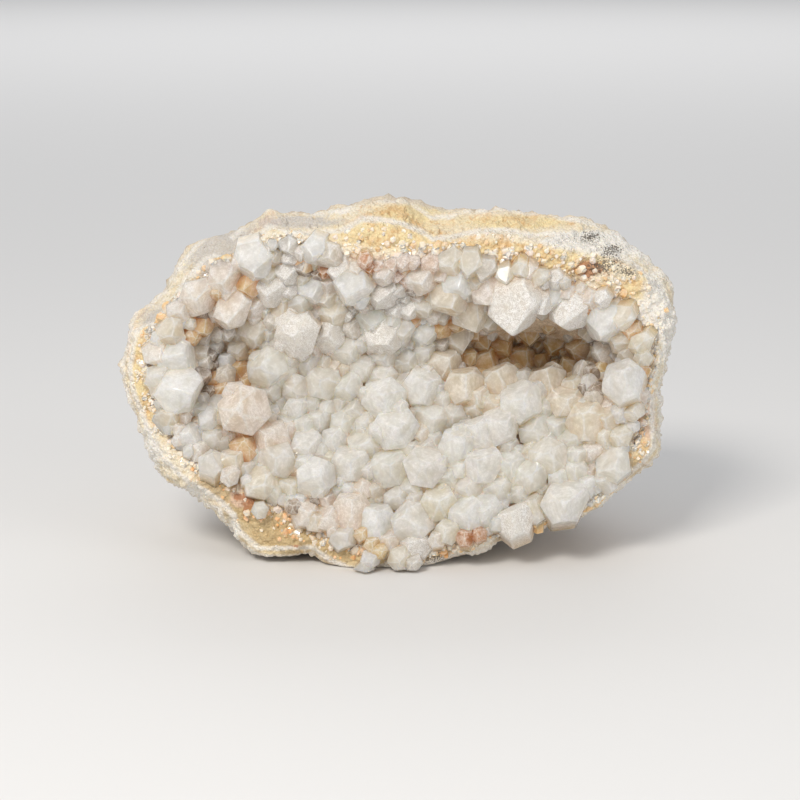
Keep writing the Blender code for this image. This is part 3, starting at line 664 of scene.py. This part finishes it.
def filler_rows(rows):
    """Small crystals for the gaps between the others, none on top of another."""
    dice = random.Random(FILLER_SEED)
    taken = [row[:3] for row in rows]
    added = []
    for count, narrowest, widest in FILLERS:
        misses = 0
        placed = 0
        while placed < count and misses < MOST_MISSES:
            angle = dice.uniform(-math.pi, math.pi)
            reach = math.sqrt(dice.uniform(0, 1)) * CRYSTAL_REACH(angle) * FILLER_EDGE
            across, down = drawing_place(angle, reach)
            width = dice.uniform(narrowest, widest)
            if any(math.hypot(across - x, down - y) < CROWDING * (w + width) for x, y, w in taken):
                misses += 1
                continue
            taken.append((across, down, width))
            leans = [dice.uniform(-FILLER_LEAN, FILLER_LEAN) for _ in range(2)]
            height = height_around(across, down, rows) * dice.uniform(*FILLER_HEIGHT)
            added.append((across, down, width, max(height / width - RISE, LEAST_PROUD), *leans))
            placed += 1
    return added


def filler_kind(across, down, dice):
    """The kind of a small crystal, by its place: pink and grey under the roof, brown and dark where it is
    deep, which is partly brown quartz and partly painted shade.
    """
    deep = swell(across, down, SLOT_PLACE, SLOT_REACH) + swell(across, down, POCKET_PLACE, POCKET_REACH)
    # Darker kinds in the slot and the pocket: partly brown quartz, partly painted shade of the recess
    if dice.random() < DEEP_SHARE * deep:
        return dice.choice(("brown", "smoky", "beige", "brown"))
    if down < ROSE_DOWN and ROSE_ACROSS[0] < across < ROSE_ACROSS[1]:
        return dice.choice(("rose", "rose", "pink", "brown"))
    if down < ROOF_DOWN:
        return dice.choice(("pink", "frost", "grey", "beige", "cream"))
    return dice.choice(FILLER_KINDS)


def join_rings(bm, inner, outer):
    for k in range(LAYER_STEPS):
        after = (k + 1) % LAYER_STEPS
        bm.faces.new((inner[k], outer[k], outer[after], inner[after]))


def bed_layer():
    """The layer under the crystals, in millimetres, as a closed mesh."""
    bm = bmesh.new()
    sides = []
    for depth, relief in ((-CRUST_THICKNESS, LAYER_RELIEF), (CRUST_ROOT, 0.0)):
        rings = []
        for share in LAYER_RINGS:
            lift = depth * (1 - smooth_step(share, *LAYER_FADE)) if depth < 0 else depth
            ring = []
            for i in range(LAYER_STEPS):
                angle = 2 * math.pi * i / LAYER_STEPS
                point = bed_point(*drawing_place(angle, share * CRYSTAL_REACH(angle)))
                point.y += lift + relief * noise.noise(point / LAYER_GRAIN)
                point.z = max(point.z, FOOT_GAP)
                ring.append(bm.verts.new(point * MM))
            rings.append(ring)
        middle = bm.verts.new((bed_point(*DRAWING_MIDDLE) + Vector((0, depth, 0))) * MM)
        for a, b in zip(rings[0], rings[0][1:] + rings[0][:1]):
            bm.faces.new((middle, a, b))
        for inner, outer in zip(rings, rings[1:]):
            join_rings(bm, inner, outer)
        sides.append(rings[-1])
    join_rings(bm, *sides)
    bmesh.ops.triangulate(bm, faces=bm.faces)
    bmesh.ops.recalc_face_normals(bm, faces=bm.faces)
    bm.faces.layers.int.new("worn")
    number = bm.faces.layers.int.new("crystal")
    for face in bm.faces:
        face[number] = -1
        face.smooth = True
    return new_object("quartz_crust", bm)


def grow_crystals():
    """All crystals as closed meshes in millimetres, with what is known of each: head, axis, width, kind."""
    rows = [(kind, row) for kind, group in CRYSTALS.items() for row in group]
    broad = [row for _, row in rows if row[2] >= BROAD_LEAST]
    for i, (kind, row) in enumerate(rows):
        if row[2] < BROAD_LEAST:
            proud = SMALL_HEIGHT * height_around(*row[:2], broad) / row[2] - RISE
            rows[i] = kind, (*row[:3], max(row[3], proud), *row[4:])
    kind_dice = random.Random(FILLER_SEED + 1)
    for row in filler_rows([row for _, row in rows]):
        rows.append((filler_kind(row[0], row[1], kind_dice), row))
    known, objects = [], []

    def add(kind, head, axis, width, root, dice):
        steps = 2 if width > TWICE_ROUNDED else 1
        rounding = (EDGE_SHARE * width + EDGE_LEAST) * MM
        faces = crystal_faces(axis, width * MM, root * MM, dice)
        objects.append(crystal_object(len(known), head * MM, faces, rounding, steps))
        known.append((kind, head * MM, axis, width * MM, dice.uniform(-1, 1)))

    for kind, row in rows:
        dice = random.Random(DICE_STRIDE * row[0] + row[1])
        head, axis, width, root = crystal_placing(*row, dice)
        spread = mix(*SPREAD, float(smooth_step(row[2], *SPREAD_WIDTHS)))
        add(kind, head, axis, width * spread, root, dice)
        angle, reach = polar(*row[:2])
        if row[2] < TWIN_LEAST or reach > TWIN_EDGE * CRYSTAL_REACH(angle):
            continue
        for _ in range(dice.choice(TWIN_COUNTS)):
            turn = dice.uniform(0, 2 * math.pi)
            across = axis.orthogonal().normalized()
            beside = axis.cross(across)
            side = across * math.cos(turn) + beside * math.sin(turn)
            share = dice.uniform(*TWIN_WIDTH)
            place = head + side * width * dice.uniform(*TWIN_ASIDE) - axis * width * dice.uniform(*TWIN_DROP)
            lean = (axis + side * dice.uniform(*TWIN_LEAN)).normalized()
            add(kind, place, lean, width * share, root, dice)
    return objects, known


def quartz_crust():
    """The crust: the layer and all crystals joined into one closed mesh, with its colours worked out."""
    objects, known = grow_crystals()
    group = bpy.data.collections.new("crystals")
    for obj in objects:
        group.objects.link(obj)
    layer = bed_layer()
    link(layer)
    grow = layer.modifiers.new("grow", "BOOLEAN")
    grow.operation = "UNION"
    grow.solver = "MANIFOLD"
    grow.operand_type = "COLLECTION"
    grow.collection = group
    bpy.context.view_layer.update()
    deps = bpy.context.evaluated_depsgraph_get()
    mesh = bpy.data.meshes.new_from_object(layer.evaluated_get(deps), depsgraph=deps)
    layer.modifiers.clear()
    spare = layer.data
    layer.data = mesh
    bpy.data.meshes.remove(spare)
    for obj in objects:
        old = obj.data
        bpy.data.objects.remove(obj)
        bpy.data.meshes.remove(old)
    bpy.data.collections.remove(group)
    keep_outer_shell(mesh)
    paint_quartz(mesh, known)
    mesh.materials.clear()
    mesh.transform(Matrix.Scale(1 / MM, 4))
    mesh.name = "quartz_crust"
    return layer


def keep_outer_shell(mesh):
    """Drop the small sealed gaps between crystals, and chips."""
    bm = bmesh.new()
    bm.from_mesh(mesh)
    left = set(bm.verts)
    shells = []
    while left:
        start = left.pop()
        shell, waiting = {start}, [start]
        while waiting:
            for edge in waiting.pop().link_edges:
                for vertex in edge.verts:
                    if vertex not in shell:
                        shell.add(vertex)
                        waiting.append(vertex)
        left -= shell
        shells.append(shell)
    shells.sort(key=len)
    bmesh.ops.delete(bm, geom=[v for shell in shells[:-1] for v in shell], context="VERTS")
    bm.to_mesh(mesh)
    bm.free()


def paint_quartz(mesh, known):
    """Give each face corner its crystal's tint, how deep and frosted it is there, and whether it takes the
    painted edge highlight.
    """
    corners = values_of(mesh.polygons, "loop_total", np.int32)
    number = np.repeat(values_of(mesh.attributes["crystal"].data, "value", np.int32), corners)
    worn = np.repeat(values_of(mesh.attributes["worn"].data, "value", np.int32), corners)
    vertex = values_of(mesh.loops, "vertex_index", np.int32)
    place = values_of(mesh.vertices, "co", np.float32, 3)[vertex]
    tints = [(*(np.array(KINDS[kind][0]) * (1 + TINT_LUCK * luck)), 1.0) for kind, _, _, _, luck in known]
    tints = np.array(tints + [LAYER_TINT], np.float32)
    frosts = np.array([KINDS[kind][1] for kind, *_ in known] + [LAYER_FROST], np.float32)
    heads = np.array([head[:] for _, head, *_ in known] + [(0, 0, 0)], np.float32)
    axes = np.array([axis[:] for _, _, axis, *_ in known] + [(0, 0, 0)], np.float32)
    widths = np.array([width for _, _, _, width, _ in known] + [1.0], np.float32)
    depth = ((heads[number] - place) * axes[number]).sum(axis=1) / widths[number]
    depth[number < 0] = LAYER_DEPTH
    tint = mesh.attributes.new("tint", "FLOAT_COLOR", "CORNER")
    tint.data.foreach_set("color", tints[number].ravel())
    for name, values in (("depth", depth), ("frost", frosts[number]), ("edge", worn * (number >= 0))):
        layer = mesh.attributes.new(name, "FLOAT", "CORNER")
        layer.data.foreach_set("value", np.ascontiguousarray(values, np.float32))
    for name in ("crystal", "worn"):
        mesh.attributes.remove(mesh.attributes[name])


def fbm(point, size, octaves, where):
    """Rough noise of a given size, about -1 to 1."""
    return noise.fractal(point / size + Vector((where, 2.3 * where, 5.1)), 0.9, 2.1, octaves)


def rock_body():
    """The rock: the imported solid, made smooth, then broken by noise, and finest where it faces front."""
    bm = bmesh.new()
    bm.from_mesh(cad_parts["matrix"].data)
    bmesh.ops.remove_doubles(bm, verts=bm.verts, dist=1e-6)
    obj = new_object("matrix_rock", bm)
    link(obj)
    soften = obj.modifiers.new("soften", "SUBSURF")
    soften.levels = 1
    deps = bpy.context.evaluated_depsgraph_get()
    bm = bmesh.new()
    bm.from_object(obj, deps)
    obj.modifiers.clear()
    for _ in range(MOST_SPLITS):
        limit = edge_limits(np.array([vertex.co[:] for vertex in bm.verts]))
        long = [e for e in bm.edges if e.calc_length() > sum(limit[v.index] for v in e.verts) / 2]
        if not long:
            break
        bmesh.ops.subdivide_edges(bm, edges=long, cuts=1, use_grid_fill=True)
        bmesh.ops.triangulate(bm, faces=[face for face in bm.faces if len(face.verts) > 4])
        bm.verts.index_update()
    bmesh.ops.triangulate(bm, faces=bm.faces)
    flaps = [vertex for vertex in bm.verts if len(vertex.link_faces) < LEAST_FACES]
    bmesh.ops.delete(bm, geom=flaps, context="VERTS")
    bmesh.ops.smooth_vert(bm, verts=bm.verts, factor=0.5, use_axis_x=True, use_axis_y=True, use_axis_z=True)
    bm.normal_update()
    points = np.array([vertex.co[:] for vertex in bm.verts])
    front = smooth_step(-points[:, 1], *RELIEF_CHANGE)
    covered = in_hollow(points) * front
    for vertex, facing, hidden in zip(bm.verts, front, covered):
        height = 0.0
        for behind, before, size, octaves, where in RELIEF:
            height += mix(behind, before, facing) * fbm(vertex.co, size, octaves, where)
        for behind, before, size in KNOBS:
            nearest = noise.voronoi(vertex.co / size)[0][0]
            height += mix(behind, before, facing) * (KNOB_MIDDLE - nearest)
        height *= (1 - HIDDEN_SMOOTH * hidden) * smooth_step(vertex.co.z, 0.0, FOOT_FADE)
        vertex.co += vertex.normal * float(height)
        vertex.co.z = max(vertex.co.z, 0.0)
    for face in bm.faces:
        face.smooth = True
    bm.to_mesh(obj.data)
    bm.free()
    paint_rock(obj.data)
    return obj


def in_hollow(points):
    """Which points are seen where the crystals are."""
    angle, reach = polar(*places_of(points))
    return reach < CRYSTAL_REACH(angle) * HOLLOW_SHARE


def edge_limits(points):
    """The longest edge allowed: short on the rim and ledge, longer behind and under the crystals."""
    depth = points[:, 1] - rim_y(*places_of(points))
    limit = mix(FRONT_EDGE, BACK_EDGE, smooth_step(points[:, 1], *EDGE_CHANGE))
    hidden = in_hollow(points) & (depth > HIDDEN_DEPTH[0]) & (depth < HIDDEN_DEPTH[1])
    return np.where(hidden, HIDDEN_EDGE, limit)


def paint_rock(mesh):
    """Give the rock its stains: how much of each colour shows at each point."""
    points = values_of(mesh.vertices, "co", np.float32, 3)
    places = places_of(points)
    normals = values_of(mesh.vertices, "normal", np.float32, 3)
    facing = smooth_step(-(normals @ np.array(AHEAD)), *PAINT_FACING)
    front = smooth_step(-points[:, 1], *PAINT_CHANGE) * facing
    angle, reach = polar(*places)
    # The white crests along the rim and the outer edge: partly white rock, partly painted highlight
    rim = np.exp(-((reach - RIM_REACH(angle)) / CREST_REACH) ** 2)
    ledge = np.exp(-((reach - OUTLINE_REACH(angle)) / CREST_REACH) ** 2)
    amounts = {"crest": np.maximum(rim, ledge) * front, "front": front}
    for name, patches in STAINS.items():
        amounts[name] = front * sum(swell(*places, patch[:2], patch[2:]) for patch in patches)
    for name, amount in amounts.items():
        layer = mesh.attributes.new(name, "FLOAT", "POINT")
        layer.data.foreach_set("value", np.clip(amount, 0, 1).astype(np.float32))


def empty_material(name):
    """A material without nodes, and the wire that its nodes are made from."""
    material = bpy.data.materials.new(name)
    material.use_nodes = True
    material.node_tree.nodes.clear()
    return material, Wire(material.node_tree)


def quartz_material(name, scatter, clearness):
    """Milky quartz: cloudy inside, browner and darker towards the root, partly stain and partly painted shade
    in the gaps, part of it clear enough to see into.
    """
    material, start = empty_material(name)
    tint = start.attribute("tint", "Color")
    depth, frost, edge = (start.attribute(what) for what in ("depth", "frost", "edge"))
    place = start.make("ShaderNodeTexCoord", {}, {}, "Object")
    cloud = place.noise(260.0, 4.0, Roughness=0.55, Distortion=0.6)
    wisp = place.noise(1100.0, 3.0, Roughness=0.7)
    grit = place.noise(4200.0, 2.0)
    veil = (cloud * 0.8 + wisp * 0.2).rise(0.34, 0.70)
    milk = tint * (0.95, 0.935, 0.90, 1.0)
    white = (0.97, 0.96, 0.945, 1.0)
    colour = start.blend(veil, milk, start.blend(0.4, tint, white))
    # Painted shade, partly stain: browner and darker towards each crystal's root, down in the gaps between
    # crystals.
    root_stain_and_shade = (depth * 0.8 + cloud * 0.4 - 0.1).rise(0.16, 0.82)
    colour = start.blend(root_stain_and_shade * 0.88, colour, (0.82, 0.54, 0.25, 1.0))
    # Painted highlight: the rounded edges of the crystals are painted lighter.
    colour = start.blend(edge * 0.28, colour, (0.99, 0.96, 0.90, 1.0))
    rime = (grit * 0.55 + wisp * 0.45).ramp((0.42, (0.62, 0.58, 0.54, 1)), (0.56, (1, 1, 1, 1)))
    colour = start.blend(frost * 0.55 - 0.05, colour, colour * rime)
    normal = (cloud * 0.35 + wisp * 0.15 + grit * frost * 0.35).bump(0.13, 0.0004)
    rough = 0.03 + frost * 0.34 + wisp * 0.04
    cloudy = start.make(
        "ShaderNodeBsdfPrincipled", {"subsurface_method": "RANDOM_WALK"},
        {"Base Color": colour, "Roughness": rough, "Normal": normal, "IOR": QUARTZ_IOR,
         "Subsurface Weight": 1.0, "Subsurface Radius": (1.0, 0.90, 0.74),
         "Subsurface Scale": scatter}, "BSDF")
    clear = start.make(
        "ShaderNodeBsdfPrincipled", {},
        {"Base Color": start.blend(0.6, colour, white), "Roughness": rough, "Normal": normal,
         "IOR": QUARTZ_IOR, "Transmission Weight": 1.0}, "BSDF")
    share = start.make("ShaderNodeClamp", {}, {"Value": clearness - veil * 0.20 - frost * 0.30}, 0)
    shader = start.make("ShaderNodeMixShader", {}, {0: share, 1: cloudy, 2: clear}, 0)
    frosted = start.make(
        "ShaderNodeBsdfPrincipled", {},
        {"Base Color": start.blend(0.5, colour, white) * rime, "Roughness": 0.30 + wisp * 0.4,
         "Normal": (grit - place.cells(2600.0)).bump(0.8, 0.0003)}, "BSDF")
    cover = (wisp * 0.45 + cloud * 0.45 + frost * 0.16 - 0.02).rise(0.44, 0.58, 0, 0.75)
    cover *= frost * 1.1 + 0.05
    shader = start.make("ShaderNodeMixShader", {}, {0: cover, 1: shader, 2: frosted}, 0)
    start.make("ShaderNodeOutputMaterial", {}, {"Surface": shader}, 0)
    return material


def rock_material():
    """Broken matrix rock: a cream band and chalky rind, with stains, dark specks, and white crests that are
    partly white rock and partly a painted highlight along the ridges.
    """
    material, start = empty_material("matrix rock")
    place = start.make("ShaderNodeTexCoord", {}, {}, "Object")
    masks = {name: start.attribute(name) for name in [*STAINS, "crest", "front"]}
    broad = place.noise(26.0, 3.0)
    large = place.noise(60.0, 4.0)
    lumps = place.noise(260.0, 4.0, Roughness=0.6)
    fine = place.noise(1000.0, 3.0)
    crumb = place.noise(2300.0, 2.0)
    grain = place.cells(1500.0)
    broken = lumps * 0.6 + fine * 0.4 - 0.5
    rind = (large * 0.5 + lumps * 0.5).ramp(
        (0.30, (0.50, 0.40, 0.29, 1)), (0.46, (0.68, 0.60, 0.50, 1)), (0.60, (0.80, 0.76, 0.70, 1)))
    band = (lumps * 0.65 + fine * 0.35).ramp(
        (0.32, (0.76, 0.58, 0.35, 1)), (0.44, (0.89, 0.80, 0.62, 1)), (0.60, (0.94, 0.90, 0.81, 1)))
    rusty = (broad * 0.7 + lumps * 0.3).rise(0.46, 0.62)
    chalky = (broad * 0.6 + lumps * 0.4).rise(0.30, 0.43, 1, 0)
    rind = start.blend(rusty * 0.65, rind, (0.58, 0.38, 0.21, 1))
    rind = start.blend(chalky * 0.75, rind, (0.84, 0.81, 0.76, 1))
    colour = start.blend(masks["front"], rind, band)
    flecks = (large * 0.35 + lumps * 0.4 + fine * 0.25 + masks["ochre"] * 0.05).rise(0.52, 0.62)
    for name, (low, high, breaking, strength, shade) in STAIN_LOOKS.items():
        shown = (masks[name] + broken * breaking).rise(low, high)
        colour = start.blend(shown * strength, colour, shade)
        if name == "ochre":
            colour = start.blend(flecks * masks["front"] * 0.6, colour, (0.72, 0.42, 0.17, 1))
    dark = (crumb * 0.75 + masks["dark"] * 0.24 + broken * 0.3).rise(0.52, 0.58)
    colour = start.blend(dark * 0.85, colour, (0.13, 0.11, 0.09, 1))
    colour = colour * (grain * 0.6 + fine * 0.4).ramp(
        (0.10, (1.04, 1.04, 1.04, 1)), (0.80, (0.80, 0.76, 0.70, 1)))
    normal = (lumps * 0.4 + fine * 0.5 - grain * 0.6).bump(0.8, 0.0007)
    shader = start.make(
        "ShaderNodeBsdfPrincipled", {},
        {"Base Color": colour, "Roughness": 0.55 + fine * 0.35, "Normal": normal, "IOR": 1.5,
         "Subsurface Weight": 0.08, "Subsurface Radius": (1.0, 0.7, 0.4), "Subsurface Scale": 0.0007}, "BSDF")
    start.make("ShaderNodeOutputMaterial", {}, {"Surface": shader}, 0)
    return material


def rim_sugar(rock):
    """The sugar of tiny crystals on the broken band around the hollow, each seated on the rock."""
    tree = BVHTree.FromObject(rock, bpy.context.evaluated_depsgraph_get())
    dice = random.Random(SUGAR_SEED)
    known = []
    bm = bmesh.new()
    for _ in range(SUGAR_COUNT):
        angle = dice.uniform(-math.pi, math.pi)
        share = dice.triangular(*SUGAR_PLACE)
        place = drawing_place(angle, mix(CRYSTAL_REACH(angle), RIM_REACH(angle), share))
        sight = (drawn_point(*place, 0.0) - EYE).normalized()
        seat, facing, _, _ = tree.ray_cast(EYE, sight)
        if seat is None or facing.dot(sight) > SUGAR_FACING:
            continue
        width = dice.triangular(*SUGAR_WIDTH) * (1 - SUGAR_SHRINK * max(share, 0)) * DRAWING_UNIT
        lean = Vector([dice.uniform(-SUGAR_LEAN, SUGAR_LEAN) for _ in range(3)])
        axis = (facing + SUGAR_PULL + lean).normalized()
        head = seat + axis * width * dice.uniform(*SUGAR_PROUD)
        faces = crystal_faces(axis, width * MM, width * MM, dice)
        sandy = max(swell(*place, patch[:2], patch[2:]) for patch in STAINS["sand"])
        kinds = ("beige", "brown") if dice.random() < SANDY_SHARE * sandy else SUGAR_KINDS
        kind = dice.choice(kinds)
        obj = crystal_object(len(known), head * MM, faces, 0, 0)
        bm.from_mesh(obj.data)
        bpy.data.objects.remove(obj)
        known.append((kind, head * MM, axis, width * MM, dice.uniform(-1, 1)))
    sugar = new_object("rim_sugar", bm)
    paint_quartz(sugar.data, known)
    sugar.data.transform(Matrix.Scale(1 / MM, 4))
    link(sugar)
    return sugar


def plain_material(name, colour, roughness):
    material = bpy.data.materials.new(name)
    material.use_nodes = True
    shader = material.node_tree.nodes["Principled BSDF"]
    shader.inputs["Base Color"].default_value = (*colour, 1.0)
    shader.inputs["Roughness"].default_value = roughness
    return material


def soft_light(name, place, target, size, power, colour):
    light = bpy.data.lights.new(name, "AREA")
    light.shape = "RECTANGLE"
    light.size, light.size_y = size
    light.energy = power
    light.color = colour
    obj = bpy.data.objects.new(name, light)
    obj.location = place
    obj.rotation_euler = (Vector(target) - Vector(place)).to_track_quat("-Z", "Y").to_euler()
    link(obj)


def studio():
    """The pale floor, the soft light, and the camera where the photograph was taken."""
    mesh = bpy.data.meshes.new("floor")
    mesh.from_pydata([(-4, -4, 0), (4, -4, 0), (4, 4, 0), (-4, 4, 0)], [], [(0, 1, 2, 3)])
    mesh.materials.append(plain_material("pale floor", (0.76, 0.755, 0.75), 0.7))
    floor = bpy.data.objects.new("floor", mesh)
    link(floor)
    soft_light("key", (-0.35, -0.75, 0.75), (0, 0, 0.04), (0.36, 0.30), 7.9, (1.0, 0.96, 0.90))
    soft_light("fill", (0.75, -0.55, 0.35), (0, 0, 0.04), (0.5, 0.5), 1.5, (0.96, 0.98, 1.0))
    soft_light("backdrop light", (0.0, 2.6, 1.8), (0, 2.6, 0), (3.0, 2.5), 30.0, (1.0, 1.0, 1.0))
    world = bpy.data.worlds.new("pale room")
    world.use_nodes = True
    light = world.node_tree.nodes["Background"].inputs
    light["Color"].default_value = (0.93, 0.94, 0.96, 1.0)
    light["Strength"].default_value = 0.50
    bpy.context.scene.world = world
    camera = bpy.data.cameras.new("camera")
    camera.sensor_width = SENSOR
    camera.lens = SENSOR * SIGHT_DISTANCE / (PICTURE_WIDTH * DRAWING_UNIT)
    obj = bpy.data.objects.new("camera", camera)
    obj.location = EYE
    aim = SIGHT_TARGET - UPWARD * (PICTURE_MIDDLE[1] - DRAWING_MIDDLE[1]) * DRAWING_UNIT
    obj.rotation_euler = (aim - EYE).to_track_quat("-Z", "Y").to_euler()
    link(obj)
    bpy.context.scene.camera = obj
    bpy.context.scene.view_settings.view_transform = "Standard"


quartz = quartz_material("milky quartz", 0.0080, 0.46)
crust = quartz_crust()
crust.data.materials.append(quartz)
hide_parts("crystal_crust")
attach(crust, "root")

rock = rock_body()
rock.data.materials.append(rock_material())
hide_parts("matrix")
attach(rock, "root")

sugar = rim_sugar(rock)
sugar.data.materials.append(quartz_material("quartz sugar", 0.0004, 0.0))
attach(sugar, "root")

studio()
